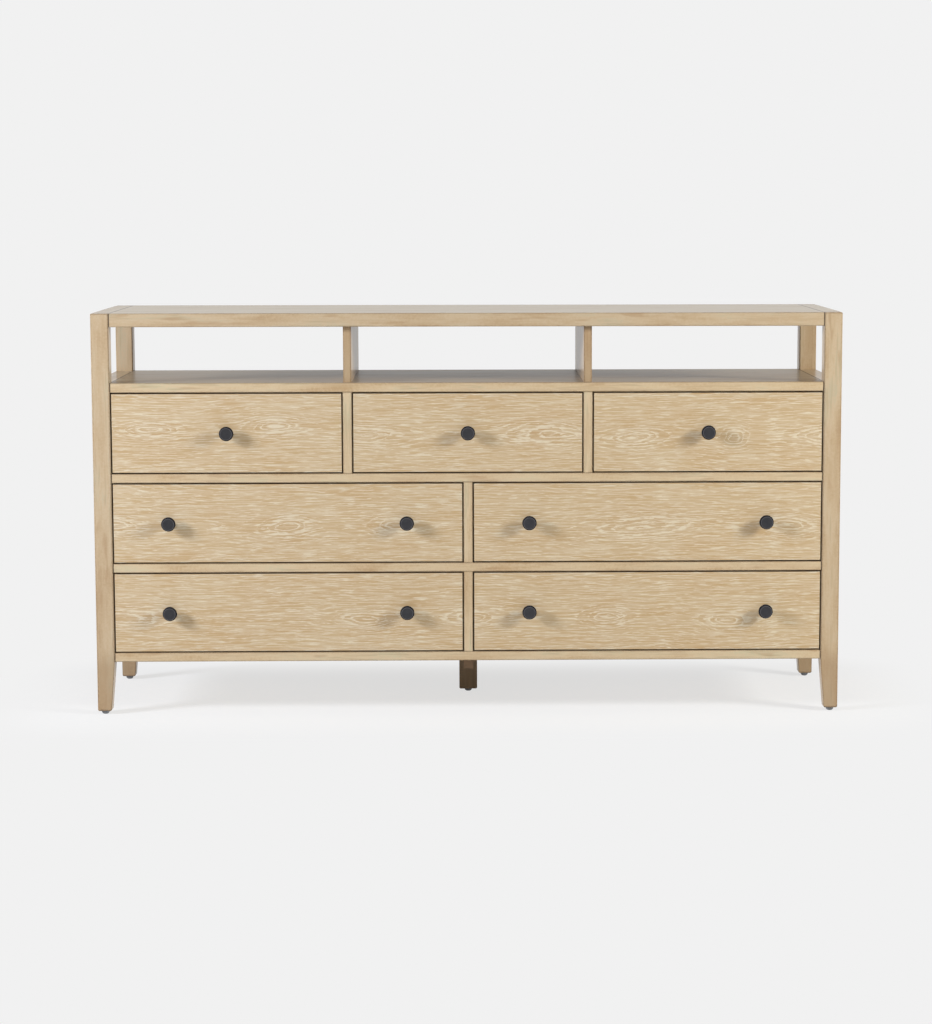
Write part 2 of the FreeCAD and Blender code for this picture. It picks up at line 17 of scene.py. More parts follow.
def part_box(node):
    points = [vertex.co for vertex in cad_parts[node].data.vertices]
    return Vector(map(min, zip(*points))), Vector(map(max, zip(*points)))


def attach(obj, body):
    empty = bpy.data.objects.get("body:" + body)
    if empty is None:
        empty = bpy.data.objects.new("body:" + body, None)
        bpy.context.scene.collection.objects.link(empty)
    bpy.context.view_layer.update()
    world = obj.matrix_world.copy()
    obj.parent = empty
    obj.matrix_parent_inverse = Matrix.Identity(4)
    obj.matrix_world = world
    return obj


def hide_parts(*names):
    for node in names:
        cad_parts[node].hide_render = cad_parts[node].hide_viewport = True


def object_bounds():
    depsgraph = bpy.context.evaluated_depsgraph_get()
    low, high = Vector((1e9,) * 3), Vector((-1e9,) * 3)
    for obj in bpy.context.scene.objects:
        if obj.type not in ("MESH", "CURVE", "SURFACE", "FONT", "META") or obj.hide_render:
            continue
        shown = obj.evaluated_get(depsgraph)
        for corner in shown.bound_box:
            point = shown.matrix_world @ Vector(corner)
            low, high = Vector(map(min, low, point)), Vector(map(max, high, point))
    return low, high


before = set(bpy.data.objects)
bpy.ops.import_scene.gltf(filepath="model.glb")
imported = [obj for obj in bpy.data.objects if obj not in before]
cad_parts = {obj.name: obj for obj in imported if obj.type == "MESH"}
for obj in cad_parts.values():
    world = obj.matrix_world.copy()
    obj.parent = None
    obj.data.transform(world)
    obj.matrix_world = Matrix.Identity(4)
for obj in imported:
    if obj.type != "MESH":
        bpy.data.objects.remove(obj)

MM = 0.001

joinery_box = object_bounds()
FRONT_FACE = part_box("upper_middle_drawer_front")[0].y
POST_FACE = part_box("right_front_post")[0].x

# %% [markdown]
# ## The camera
#
# The photograph was taken from about six metres, a little above the top of the dresser, with a
# long lens, so the front is almost free of perspective and the top is a thin sliver. The
# picture is also a crop: the lens pointed about a degree to the right of the dresser, which a
# small shift of the picture makes good. A camera can be aimed at a target with a constraint,
# but three small turns say plainly how the real one stood, so it gets its matrix from them.

# %% Place the camera
# Place in metres, turns in degrees, lens and sensor in millimetres, shift in picture widths.
CAMERA_PLACE = Vector((-0.0197, -6.0001, 1.1510))
CAMERA_PAN = -1.175
CAMERA_TILT = -6.845
CAMERA_LEAN = 0.064
CAMERA_LENS = 90.893
CAMERA_SHIFT = -0.0449
SENSOR = 36


def turn(degrees, axis):
    """A turn about one of the world's axes."""
    return Matrix.Rotation(math.radians(degrees), 4, axis)


camera = bpy.data.objects.new("camera", bpy.data.cameras.new("camera"))
bpy.context.scene.collection.objects.link(camera)
camera.data.lens = CAMERA_LENS
camera.data.sensor_width = SENSOR
camera.data.shift_x = CAMERA_SHIFT
level_camera = turn(90, "X")
camera.matrix_world = (
    Matrix.Translation(CAMERA_PLACE)
    @ turn(CAMERA_PAN, "Z")
    @ turn(CAMERA_TILT, "X")
    @ turn(CAMERA_LEAN, "Y")
    @ level_camera
)
bpy.context.scene.camera = camera
bpy.context.scene.view_settings.view_transform = "Standard"
print("camera", round(FRONT_FACE - CAMERA_PLACE.y, 2), "m in front of the drawers")

# %% [markdown]
# ## Shader sums written as Python
#
# A finish is a small calculation: noise gives a number, the number picks a colour. Built by
# hand in the editor, such a calculation soon becomes a web of Math nodes. Here one class wraps
# a socket and lets Python's own signs add the Math nodes, so that a line of code reads like the
# formula that it makes. Every other node comes from one method of the finish.


# %% A signal between nodes
class Signal:
    """A socket's number, colour or direction, which Python's own signs can calculate with."""

    def __init__(self, finish, socket):
        self.finish = finish
        self.socket = socket

    def __add__(self, other):
        return self.finish.math("ADD", self, other)

    def __radd__(self, other):
        return self.finish.math("ADD", other, self)

    def __sub__(self, other):
        return self.finish.math("SUBTRACT", self, other)

    def __rsub__(self, other):
        return self.finish.math("SUBTRACT", other, self)

    def __mul__(self, other):
        return self.finish.math("MULTIPLY", self, other)

    def __truediv__(self, other):
        return self.finish.math("DIVIDE", self, other)

    def __abs__(self):
        return self.finish.math("ABSOLUTE", self)


# %% A finish and the nodes that it is made of
# The mix node has sockets for each kind of data, and those for colours have these places.
COLOUR_MIX = {"data_type": "RGBA", "clamp_factor": True}
MIX_FACTOR, MIX_FIRST, MIX_SECOND, MIX_RESULT = 0, 6, 7, 2


class Finish:
    """One material, and short ways to add the nodes that wood and metal need."""

    def __init__(self, name):
        self.material = bpy.data.materials.new(name)
        self.material.use_nodes = True
        self.tree = self.material.node_tree
        self.tree.nodes.clear()
        self.point = self.node("ShaderNodeTexCoord", {}, {}, "Object")

    def node(self, kind, settings, sockets, output=0):
        """Add a node, set it up, feed its sockets, and give back one of its outputs."""
        made = self.tree.nodes.new(kind)
        for name, setting in settings.items():
            if name == "stops":
                self.set_stops(made.color_ramp, setting)
            else:
                setattr(made, name, setting)
        for key, given in sockets.items():
            if isinstance(given, Signal):
                self.tree.links.new(given.socket, made.inputs[key])
            else:
                made.inputs[key].default_value = given
        return Signal(self, made.outputs[output]) if made.outputs else None

    def set_stops(self, ramp, stops):
        """Give a colour ramp its stops, each a place and a colour."""
        for place, colour in stops[2:]:
            ramp.elements.new(place)
        for element, (place, colour) in zip(ramp.elements, stops):
            element.position = place
            element.color = colour

    def math(self, operation, *numbers):
        return self.node("ShaderNodeMath", {"operation": operation}, dict(enumerate(numbers)))

    def ramp(self, number, stops):
        return self.node("ShaderNodeValToRGB", {"stops": stops}, {"Fac": number}, "Color")

    def blend(self, share, first, second):
        """Mix two colours: all of the first at a share of 0, all of the second at 1."""
        sockets = {MIX_FACTOR: share, MIX_FIRST: first, MIX_SECOND: second}
        return self.node("ShaderNodeMix", COLOUR_MIX, sockets, MIX_RESULT)

    def stain(self, colour, where, tone, share):
        """Lay a tone over a colour, up to its share where the number is 1."""
        return self.blend(where * share, colour, tone)

    def between(self, number, low, high):
        """low where the number is 0 and high where it is 1."""
        return low + number * (high - low)

    def rise(self, number, low, high):
        """0 below low, 1 above high, and a soft slope between them."""
        sockets = {"Value": number, "From Min": low, "From Max": high}
        return self.node("ShaderNodeMapRange", {"interpolation_type": "SMOOTHSTEP"}, sockets)

    def noise(self, point, scale, detail=2.0, place=(0, 0, 0)):
        """Noise from 0 to 1, with its own scale along each axis of the point."""
        laid_out = {"Vector": point, "Scale": scale, "Location": place}
        stretched = self.node("ShaderNodeMapping", {}, laid_out)
        sockets = {"Vector": stretched, "Scale": 1, "Detail": detail}
        return self.node("ShaderNodeTexNoise", {}, sockets)

    def components(self, vector):
        """The three numbers of a vector."""
        first = self.node("ShaderNodeSeparateXYZ", {}, {"Vector": vector})
        return [Signal(self, output) for output in first.socket.node.outputs]

    def vector(self, x, y, z):
        return self.node("ShaderNodeCombineXYZ", {}, {"X": x, "Y": y, "Z": z})

    def relief(self, height, strength, depth, **more):
        """A normal that stands for a fine relief, up to a depth."""
        sockets = {"Strength": strength, "Distance": depth, "Height": height, **more}
        return self.node("ShaderNodeBump", {}, sockets)

    def surface(self, sockets):
        """The shader itself: constants and signals go straight to its own sockets."""
        shader = self.node("ShaderNodeBsdfPrincipled", {}, sockets)
        self.node("ShaderNodeOutputMaterial", {}, {"Surface": shader})
        return self.material


def screen(red, green, blue):
    """A colour as a screen shows it, turned into the linear light that a shader works in."""

    def linear(level):
        share = level / 255
        return share / 12.92 if share <= 0.04045 else ((share + 0.055) / 1.055) ** 2.4

    return (linear(red), linear(green), linear(blue), 1)


def grey(level):
    return (level, level, level, 1)


print("a white of 240 is", round(screen(240, 240, 240)[0], 3), "in linear light")

# %% [markdown]
# ## The studio
#
# The photograph has a plain pale ground that runs into a plain pale background, with only a
# soft shadow under the case. A curved backdrop lit from above could give that, but then the
# light that makes the paper white would also flood the furniture. So the paper shows its own
# pale colour to the camera, and only under the case and close to it a share of it answers to
# the lamps and takes the shadow. The glow makes up for what the lamps would add where nothing
# shades the paper, so that the ground meets the background unseen.

# %% Background and ground
PAPER = screen(241, 241, 241)
GROUND_REACH = 30
GROUND_CELLS = 8
PAPER_BOUNCE = grey(0.66)
PAPER_SHOWN = (0.99, 1, 1, 1)
SHADOW_SHARE = 0.26
SHADOW_FADE = 0.3
# How bright the lamps and the fill make the paper where nothing shades it.
OPEN_LIGHT = 0.79
# The fill's strength from the horizon down and from high up, and the height between them.
FILL_LOW = 0.46
FILL_HIGH = 0.07
FILL_FADE = 0.7
FILL_TINT = (1, 0.975, 0.94, 1)


def seen_directly(finish):
    """1 where the camera, a reflection or clear glass looks, 0 for all other light."""
    path = finish.node("ShaderNodeLightPath", {}, {}, "Is Camera Ray")
    rays = path.socket.node.outputs
    glossy = Signal(finish, rays["Is Glossy Ray"])
    through = Signal(finish, rays["Is Transmission Ray"])
    return finish.math("MAXIMUM", finish.math("MAXIMUM", path, glossy), through)


class Sky(Finish):
    """The world is a finish too, with a tree of its own."""

    def __init__(self):
        world = bpy.data.worlds.new("studio")
        world.use_nodes = True
        bpy.context.scene.world = world
        self.tree = world.node_tree
        self.tree.nodes.clear()
        self.point = self.node("ShaderNodeTexCoord", {}, {}, "Generated")


sky = Sky()
height = sky.components(sky.point)[2]
fill_light = FILL_LOW - sky.rise(height, 0, FILL_FADE) * (FILL_LOW - FILL_HIGH)
fill = sky.node("ShaderNodeBackground", {}, {"Color": FILL_TINT, "Strength": fill_light})
backdrop = sky.node("ShaderNodeBackground", {}, {"Color": PAPER, "Strength": 1})
both = sky.node("ShaderNodeMixShader", {}, {0: seen_directly(sky), 1: fill, 2: backdrop})
sky.node("ShaderNodeOutputWorld", {}, {"Surface": both})

paper = Finish("paper")
across, deep, _ = paper.components(paper.point)
beside = paper.math("MAXIMUM", abs(across) - joinery_box[1].x, 0)
before = paper.math("MAXIMUM", abs(deep) - joinery_box[1].y, 0)
away = paper.math("SQRT", beside * beside + before * before)
answering = (1 - paper.rise(away, 0, SHADOW_FADE)) * SHADOW_SHARE
seen = seen_directly(paper)
paper_tone = paper.blend(seen, PAPER_BOUNCE, PAPER_SHOWN)
lit = paper.node("ShaderNodeBsdfDiffuse", {}, {"Color": paper_tone})
made_up = (PAPER[0] - answering * OPEN_LIGHT) / (1 - answering)
glow = paper.node("ShaderNodeEmission", {}, {"Color": made_up, "Strength": 1})
shown = seen * (1 - answering)
ground_shader = paper.node("ShaderNodeMixShader", {}, {0: shown, 1: lit, 2: glow})
paper.node("ShaderNodeOutputMaterial", {}, {"Surface": ground_shader})

sheet = bmesh.new()
cells = {"x_segments": GROUND_CELLS, "y_segments": GROUND_CELLS}
bmesh.ops.create_grid(sheet, size=GROUND_REACH, **cells)
ground_mesh = bpy.data.meshes.new("ground")
sheet.to_mesh(ground_mesh)
sheet.free()
ground_mesh.materials.append(paper.material)
ground = bpy.data.objects.new("ground", ground_mesh)
bpy.context.scene.collection.objects.link(ground)

# %% [markdown]
# ## Two soft lamps
#
# The knobs tell where the light was. Each one on the left throws its shadow to the right and a
# little down, each one on the right throws it to the left, and the middle ones do both. The
# lengths of those shadows put a soft lamp three and a half metres out on either side and a
# metre and a half before the drawers, at the height of a person's head. The left lamp is the
# stronger and cooler one. Area lamps give the blurred edge, and a wide dim one over the top
# stands for the studio's ceiling. A polarising filter keeps the white image of a lamp out of
# lacquer, and here the two lamps are hidden from glossy rays, so that only the pale room shows
# in it.

# %% Hang the lamps
# Distances in metres, from the floor under the middle of the case.
LAMP_OUT = 3.6
LAMP_FRONT = -1.78
LAMP_HEIGHT = 1.86
LAMP_SIZE = 0.9
LEFT_WATTS = 137
RIGHT_WATTS = 121
COOL = (0.97, 1.0, 1.1)
WARM = (1.01, 1.0, 0.97)
WHITE = (1, 1, 1)
CEILING_PLACE = (0, -0.3, 3.4)
CEILING_SIZE = 3.0
CEILING_WATTS = 10
AIM = Vector((0, 0, 0.45))


def lamp(name, place, size, watts, colour):
    """A square soft lamp that faces the dresser."""
    light = bpy.data.lights.new(name, "AREA")
    light.shape = "SQUARE"
    light.size = size
    light.energy = watts
    light.color = colour
    holder = bpy.data.objects.new(name, light)
    holder.location = place
    holder.rotation_mode = "QUATERNION"
    holder.rotation_quaternion = (AIM - Vector(place)).to_track_quat("-Z", "Y")
    bpy.context.scene.collection.objects.link(holder)
    return holder


for name, side, watts, colour in (
    ("left_lamp", -1, LEFT_WATTS, COOL),
    ("right_lamp", 1, RIGHT_WATTS, WARM),
):
    place = (side * LAMP_OUT, LAMP_FRONT, LAMP_HEIGHT)
    lamp(name, place, LAMP_SIZE, watts, colour).visible_glossy = False
lamp("ceiling", CEILING_PLACE, CEILING_SIZE, CEILING_WATTS, WHITE)

# %% [markdown]
# ## Wood has a direction
#
# Every board is cut along its length, so a grain that runs across a rail looks wrong at once.
# One finish could be turned with a UV map for each board, but these boards have none. Their
# mesh already stands in its place in the room, so the object's own coordinates serve: they are
# turned until their first axis runs along the grain, and the noise is stretched along it.

# %% Turn the coordinates along the grain
GRAIN_TURNS = {
    "across": (0, 0, 0),
    "front_to_back": (0, 0, math.radians(-90)),
    "upright": (0, math.radians(90), 0),
}
GRAIN_AXES = {"across": 0, "front_to_back": 1, "upright": 2}
EDGE_SAMPLES = 4
# Where a soft slope starts and where it is full.
CUT_ACROSS = (0.6, 0.8)
EDGE_TURN = (0.005, 0.08)


def grain_point(finish, direction):
    """The object's coordinates, turned so that the first runs along the grain."""
    sockets = {"Vector": finish.point, "Rotation": GRAIN_TURNS[direction]}
    return finish.node("ShaderNodeMapping", {}, sockets)


def arris_mask(finish, width):
    """1 on the arrises, 0 on the flats: where a softened normal leaves the true one."""
    soft = finish.node("ShaderNodeBevel", {"samples": EDGE_SAMPLES}, {"Radius": width})
    true = finish.node("ShaderNodeNewGeometry", {}, {}, "Normal")
    product = {"operation": "DOT_PRODUCT"}
    together = finish.node("ShaderNodeVectorMath", product, {0: soft, 1: true}, "Value")
    return finish.rise(1 - together, *EDGE_TURN), soft


def end_grain(finish, direction):
    """1 on the faces that were cut across the grain, 0 along it."""
    facing = finish.components(finish.node("ShaderNodeNewGeometry", {}, {}, "Normal"))
    return finish.rise(abs(facing[GRAIN_AXES[direction]]), *CUT_ACROSS)


# %% [markdown]
# ## The smooth frame
#
# Posts, rails, top and shelf have a fine even wood under a pale wash: tan, with clouds of a
# greener beige, thin streaks along the grain and now and then a browner mark. Each piece has a
# thin brown outline on its arrises, which is painted shade on the eased edges, and the pieces
# round the top and the shelf have a thin satin lacquer, so the top shines pale where it is seen
# at a low angle. Painted shade also browns the lower legs, darkens the shelf's top, greys the
# top faces and draws a dark line beside the posts. It takes five noises of different stretch:
# clouds, streaks and specks pick the tone together, browner marks are laid over it, and the
# finest noise roughens the surface.

# %% Frame wood
# Each tone has its place on the scale from dark to light noise.
RAIL_TONES = [
    (0.38, screen(190, 161, 122)),
    (0.46, screen(206, 182, 145)),
    (0.54, screen(213, 192, 157)),
    (0.62, screen(203, 191, 157)),
]
POST_TONES = [
    (0.38, screen(183, 156, 121)),
    (0.46, screen(195, 171, 137)),
    (0.54, screen(202, 181, 149)),
    (0.62, screen(192, 179, 149)),
]
PANEL_TONES = [
    (0.36, screen(189, 163, 129)),
    (0.50, screen(197, 174, 141)),
    (0.64, screen(198, 178, 147)),
]
DIVIDER_TONES = [
    (0.38, screen(172, 143, 108)),
    (0.50, screen(185, 159, 125)),
    (0.64, screen(189, 167, 135)),
]
# A stain is a tone and how much of it is laid on.
BROWNER = screen(158, 128, 94)
# Painted shade: the lower legs browner towards the floor.
FOOT_SHADE = (BROWNER, 0.5)
# Painted shade: the shelf's top face darker, where the top of the case shades it.
SHELF_SHADE = (screen(126, 112, 96), 0.6)
# Painted shade: the top faces greyer, as if little light fell on them from above.
TOP_SHADE = (screen(164, 158, 135), 0.25)
END_STAIN = (BROWNER, 0.35)
STREAK_STAIN = (screen(182, 154, 118), 0.4)
MARK_STAIN = (screen(166, 130, 92), 0.35)
# Painted shade: a thin brown outline on the eased arrises, where the rounded edges fall into
# shade.
ARRIS_SHADE = (screen(128, 98, 64), 0.7)
# Painted shade: the dark line in the joint beside each post.
JOINT_SHADE = (screen(44, 35, 27), 0.9)
# Heights between which a painted shade comes in, from the underside of the case or from a top
# face.
FOOT_FADE = (40 * MM, -20 * MM)
TOP_FADE = (-0.4 * MM, -0.1 * MM)
# A noise has its scale along and across the grain, its detail, and sometimes its own place.
CLOUD = ((5, 26, 26), 5)
STREAK = ((12, 210, 210), 3)
SPECK = ((240, 240, 240), 3)
MARK = ((12, 110, 70), 1, (3, 1, 2))
FIBRE = ((40, 900, 900), 1)
CLOUD_SHARE, STREAK_SHARE, SPECK_SHARE = 0.6, 0.25, 0.15
STREAKED = (0.5, 0.66)
MARKED = (0.64, 0.76)
JOINT_WIDTH = 2.2 * MM
EDGE_WIDTH = 4 * MM
# A relief has its strength and its depth, a roughness its lowest and highest value.
FIBRE_RELIEF = (0.25, 0.2 * MM)
FRAME_ROUGHNESS = (0.36, 0.5)
TOP_COAT = 0.42
SHELF_COAT = 0.18
COAT_ROUGHNESS = 0.15
BARE_SHINE, COATED_SHINE = 0.5, 0.15


def frame_wood(name, direction, tones, joints=False, coat=0.0, painted_shades=()):
    """The smooth washed wood of the frame.

    joints draws painted shade as a dark line beside the posts. Each item of the last argument is
    painted shade between two heights: lower legs browner, the shelf top darker, the tops greyer.
    """
    finish = Finish(name)
    grain = grain_point(finish, direction)
    across, _, up = finish.components(finish.point)
    cloud = finish.noise(grain, *CLOUD)
    streak = finish.noise(grain, *STREAK)
    speck = finish.noise(finish.point, *SPECK)
    mark = finish.noise(grain, *MARK)
    fibre = finish.noise(grain, *FIBRE)
    mixture = cloud * CLOUD_SHARE + streak * STREAK_SHARE + speck * SPECK_SHARE
    colour = finish.ramp(mixture, tones)
    colour = finish.stain(colour, finish.rise(streak, *STREAKED), *STREAK_STAIN)
    colour = finish.stain(colour, finish.rise(mark, *MARKED), *MARK_STAIN)
    colour = finish.stain(colour, end_grain(finish, direction), *END_STAIN)
    edge, soft_normal = arris_mask(finish, EDGE_WIDTH)
    # Painted shade by height: browner lower legs, a darker shelf top and greyer top faces.
    for stain, start, end in painted_shades:
        colour = finish.stain(colour, finish.rise(up, start, end), *stain)
    # Painted shade on the arrises: a thin brown outline.
    colour = finish.stain(colour, edge, *ARRIS_SHADE)
    # Painted shade: a dark line where the rails, top and shelf meet the posts.
    if joints:
        from_joint = abs(abs(across) - POST_FACE)
        line = 1 - finish.rise(from_joint, JOINT_WIDTH * 0.5, JOINT_WIDTH)
        colour = finish.stain(colour, line, *JOINT_SHADE)
    return finish.surface(
        {
            "Base Color": colour,
            "Roughness": finish.between(streak, *FRAME_ROUGHNESS),
            "Specular IOR Level": COATED_SHINE if coat else BARE_SHINE,
            "Coat Weight": coat,
            "Coat Roughness": COAT_ROUGHNESS,
            "Normal": finish.relief(fibre, *FIBRE_RELIEF, Normal=soft_normal),
        }
    )


def finish_node(node, material):
    """Give a piece of joinery its finish, through its object's material slots."""
    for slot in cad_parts[node].material_slots:
        slot.link = "OBJECT"
        slot.material = material


shelf_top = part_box("shelf_panel")[1].z
case_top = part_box("top_panel")[1].z
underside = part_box("bottom_front_rail")[0].z
foot_shade = (FOOT_SHADE, underside + FOOT_FADE[0], underside + FOOT_FADE[1])
shelf_shade = [(SHELF_SHADE, shelf_top + TOP_FADE[0], shelf_top + TOP_FADE[1])]
top_shade = [(TOP_SHADE, case_top + TOP_FADE[0], case_top + TOP_FADE[1])]
post_shades = [foot_shade] + top_shade
post_wood = frame_wood("post_wood", "upright", POST_TONES, False, TOP_COAT, post_shades)
divider_wood = frame_wood("divider_wood", "upright", DIVIDER_TONES, False, TOP_COAT)
stile_wood = frame_wood("stile_wood", "upright", RAIL_TONES)
side_wood = frame_wood("side_rail_wood", "front_to_back", POST_TONES, True, TOP_COAT, top_shade)
low_side_wood = frame_wood("bottom_side_rail_wood", "front_to_back", POST_TONES)
rail_wood = frame_wood("rail_wood", "across", RAIL_TONES, True)
top_wood = frame_wood("top_wood", "across", POST_TONES, True, TOP_COAT, top_shade)
shelf_wood = frame_wood("shelf_wood", "across", RAIL_TONES, True, SHELF_COAT, shelf_shade)
for corner in ("left_front", "right_front", "left_back", "right_back"):
    finish_node(f"{corner}_post", post_wood)
for side in ("left", "right"):
    finish_node(f"{side}_shelf_divider", divider_wood)
    finish_node(f"{side}_top_side_rail", side_wood)
    finish_node(f"{side}_shelf_side_rail", side_wood)
    finish_node(f"{side}_bottom_side_rail", low_side_wood)
finish_node("stiles", stile_wood)
for rail in ("upper_front", "lower_front", "bottom_front", "upper_back", "bottom_back"):
    finish_node(f"{rail}_rail", rail_wood)
finish_node("top_panel", top_wood)
finish_node("shelf_panel", shelf_wood)

# %% [markdown]
# ## Limed oak drawer fronts
#
# The fronts are the showpiece: oak sliced flat through the trunk, so that its growth rings
# come up as long ovals and arches, with pale lime rubbed into the open pores. The usual wave
# texture gives rings that are too regular. Here the trunk itself is imagined: its heart lies
# a little behind the front, sometimes nearer and sometimes deeper, and the distance from it,
# worked out at every point, tells which ring the saw met. Where the heart comes close, the
# rings close up into an eye. Each front has its own heart height and its own eyes.
#
# The rings alone would look drawn. In the wood they only say where the open pores lie: each
# pore is a short dash of lime, and dashes crowd together in the early wood of a ring and are
# few in the smooth late wood. So most dashes come from a noise with the ring's number as one
# of its axes, which makes them bend round an eye as the rings do, and the early wood of a ring
# helps that noise over the threshold at which it turns into lime. A fainter layer of very fine
# level dashes fills the ground between them.

# %% Limed oak
# The height of each heart, as a share of the front's own height, and its eyes, each with its
# place along the front and its reach, as shares of the front's width.
HEARTS = {
    "upper_left": (0.57, [(0.18, 0.13), (0.72, 0.12)]),
    "upper_middle": (0.50, [(-0.04, 0.26), (0.84, 0.17)]),
    "upper_right": (0.42, [(0.18, 0.13), (1.03, 0.18), (0.62, 0.06)]),
    "middle_left": (0.48, [(-0.02, 0.10), (0.50, 0.07), (0.80, 0.07)]),
    "middle_right": (0.43, [(0.50, 0.15), (0.91, 0.08)]),
    "lower_left": (0.44, [(0.02, 0.12), (0.72, 0.08), (1.02, 0.08)]),
    "lower_right": (0.41, [(-0.02, 0.10), (0.38, 0.07), (0.73, 0.08)]),
}
HEART_DEPTH = 27 * MM
HEART_DRIFT = 50 * MM
HEART_BEND = 22 * MM
EYE_DEPTH = 20 * MM
EYE_REACH = (15 * MM, 45 * MM)
RING_WIDTH = 5.5 * MM
UNEVEN_YEARS = 2.5
RING_WOBBLE = 0.9
RING_FRAY = 0.75
DRIFT = ((3, 3, 8), 2)
BEND = ((6, 6, 26), 2, (4, 2, 7))
WOBBLE = ((9, 9, 34), 3)
FRAY = ((60, 60, 420), 2)
YEARS = ((70, 1, 1), 2)
PORES = ((24, 1, 1), 2)
LONE_PORES = ((50, 500, 500), 2)
FINE_PORES = ((12, 620, 620), 2, (3, 1, 5))
PATCH = ((5, 5, 16), 2)
PORES_PER_RING = 1.6
PORES_PER_METRE = 310
PORES_SHARE, LONE_PORES_SHARE = 0.65, 0.35
# What the early wood adds to the pores, and how dark the late wood is, far from and in an eye.
EARLY_HELP = (0.06, 0.22)
LATE_DARKNESS = (0.2, 0.5)
LIMED_FROM = (0.52, 0.65)
DASHED_FROM = (0.46, 0.56)
PATCHED_FROM = (0.35, 0.65)
OAK_ROUGHNESS = (0.52, 0.74)
PORE_RELIEF = (0.3, 0.25 * MM)
OAK_DARK = screen(187, 155, 113)
OAK_TAN = screen(198, 169, 127)
OAK_WARM = screen(202, 176, 136)
LIME = screen(229, 218, 193)
DASH_STAIN = (LIME, 0.36)
PORE_STAIN = (LIME, 0.75)
# Painted shade: the eased edges of each front go almost black, for the deep gap round it.
GAP_SHADE = (screen(54, 41, 29), 0.95)
BORDER_WIDTH = 1.2 * MM
BORDER_DEPTH = 3 * MM
DULL_SHINE = 0.3
# How much early wood there is on the way through one ring.
RING_STOPS = [
    (0.0, grey(0.0)),
    (0.07, grey(1)),
    (0.25, grey(0.55)),
    (0.5, grey(0.1)),
    (1.0, grey(0.0)),
]


def ring_number(finish, box, heart_share, eyes):
    """A point's ring number, how near it is to an eye, and how far off the heart's height."""
    low, high = box
    across, deep, up = finish.components(finish.point)
    width = high.x - low.x
    drift = finish.noise(finish.point, *DRIFT) - 0.5
    wobble = finish.noise(finish.point, *WOBBLE) - 0.5
    fray = finish.noise(finish.point, *FRAY) - 0.5
    heart = low.z + heart_share * (high.z - low.z)
    height = up - heart + drift * HEART_DRIFT
    bend = finish.noise(finish.point, *BEND) - 0.5
    depth = bend * HEART_BEND + (deep - low.y) + HEART_DEPTH
    near = 0
    for share, reach in eyes:
        along = (across - (low.x + share * width)) / (reach * width)
        near = near + finish.math("EXPONENT", 0 - along * along)
    depth = depth - near * EYE_DEPTH
    radius = finish.math("SQRT", height * height + depth * depth)
    own_years = eyes[-1][0]
    years = finish.noise(finish.vector(radius, own_years, 0), *YEARS) - 0.5
    even = radius / RING_WIDTH + years * UNEVEN_YEARS
    number = even + wobble * RING_WOBBLE + fray * RING_FRAY
    near = near * (1 - finish.rise(radius, *EYE_REACH))
    return number, near, abs(height)


def gap_shade_mask(finish, box):
    """1 on the eased outer edges of a front, painted with the gap's deep shade, 0 on its face.
    """
    low, high = box
    across, deep, up = finish.components(finish.point)
    from_ends = finish.math("MINIMUM", across - low.x, high.x - across)
    from_edges = finish.math("MINIMUM", up - low.z, high.z - up)
    inwards = finish.math("MINIMUM", from_ends, from_edges)
    near = 1 - finish.rise(inwards, BORDER_WIDTH * 0.5, BORDER_WIDTH)
    return near * (1 - finish.rise(deep - low.y, BORDER_DEPTH, BORDER_DEPTH + MM))


def limed_oak(name, node, heart_share, eyes):
    """Flat-sawn oak with limed pores, drawn from the rings round its own heart."""
    finish = Finish(name)
    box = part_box(node)
    number, near, from_heart = ring_number(finish, box, heart_share, eyes)
    early = finish.ramp(finish.math("FRACT", number), RING_STOPS)
    across, deep, _ = finish.components(finish.point)
    inwards = deep - box[0].y
    outwards = number * PORES_PER_RING + from_heart * PORES_PER_METRE
    along_rings = finish.vector(across, inwards * PORES_PER_METRE, outwards)
    pores = finish.noise(along_rings, *PORES)
    lone_pores = finish.noise(finish.point, *LONE_PORES)
    fine_pores = finish.noise(finish.point, *FINE_PORES)
    patch = finish.noise(finish.point, *PATCH)
    wood = finish.blend(finish.rise(patch, *PATCHED_FROM), OAK_TAN, OAK_WARM)
    late = (1 - early) * finish.between(near, *LATE_DARKNESS)
    wood = finish.blend(late, wood, OAK_DARK)
    crowded = early * finish.between(near, *EARLY_HELP)
    open_pores = pores * PORES_SHARE + lone_pores * LONE_PORES_SHARE + crowded
    limed = finish.rise(open_pores, *LIMED_FROM)
    dashes = finish.rise(fine_pores, *DASHED_FROM)
    colour = finish.stain(wood, dashes, *DASH_STAIN)
    colour = finish.stain(colour, limed, *PORE_STAIN)
    # Painted shade in the gap round the front.
    colour = finish.stain(colour, gap_shade_mask(finish, box), *GAP_SHADE)
    return finish.surface(
        {
            "Base Color": colour,
            "Roughness": finish.between(limed, *OAK_ROUGHNESS),
            "Specular IOR Level": DULL_SHINE,
            "Normal": finish.relief(1 - limed, *PORE_RELIEF),
        }
    )


for drawer, (heart_share, eyes) in HEARTS.items():
    node = f"{drawer}_drawer_front"
    finish_node(node, limed_oak(f"limed_oak_{drawer}", node, heart_share, eyes))
print(len(HEARTS), "drawer fronts limed")

# %% [markdown]
# ## Inside wood, plywood and the dark leg
#
# What the buyer rarely sees is plainer: drawer sides of a pale even wood, plywood bottoms and
# back, hard runners, and the middle leg and its stretcher stained dark, so that they hide in
# the shadow under the case. Two short functions with other tones each time make them all,
# since they differ in colour and not in kind: one lays the straight grain, which is darker
# where the board is cut across, and one sands it. The panels in the sides are frame wood.

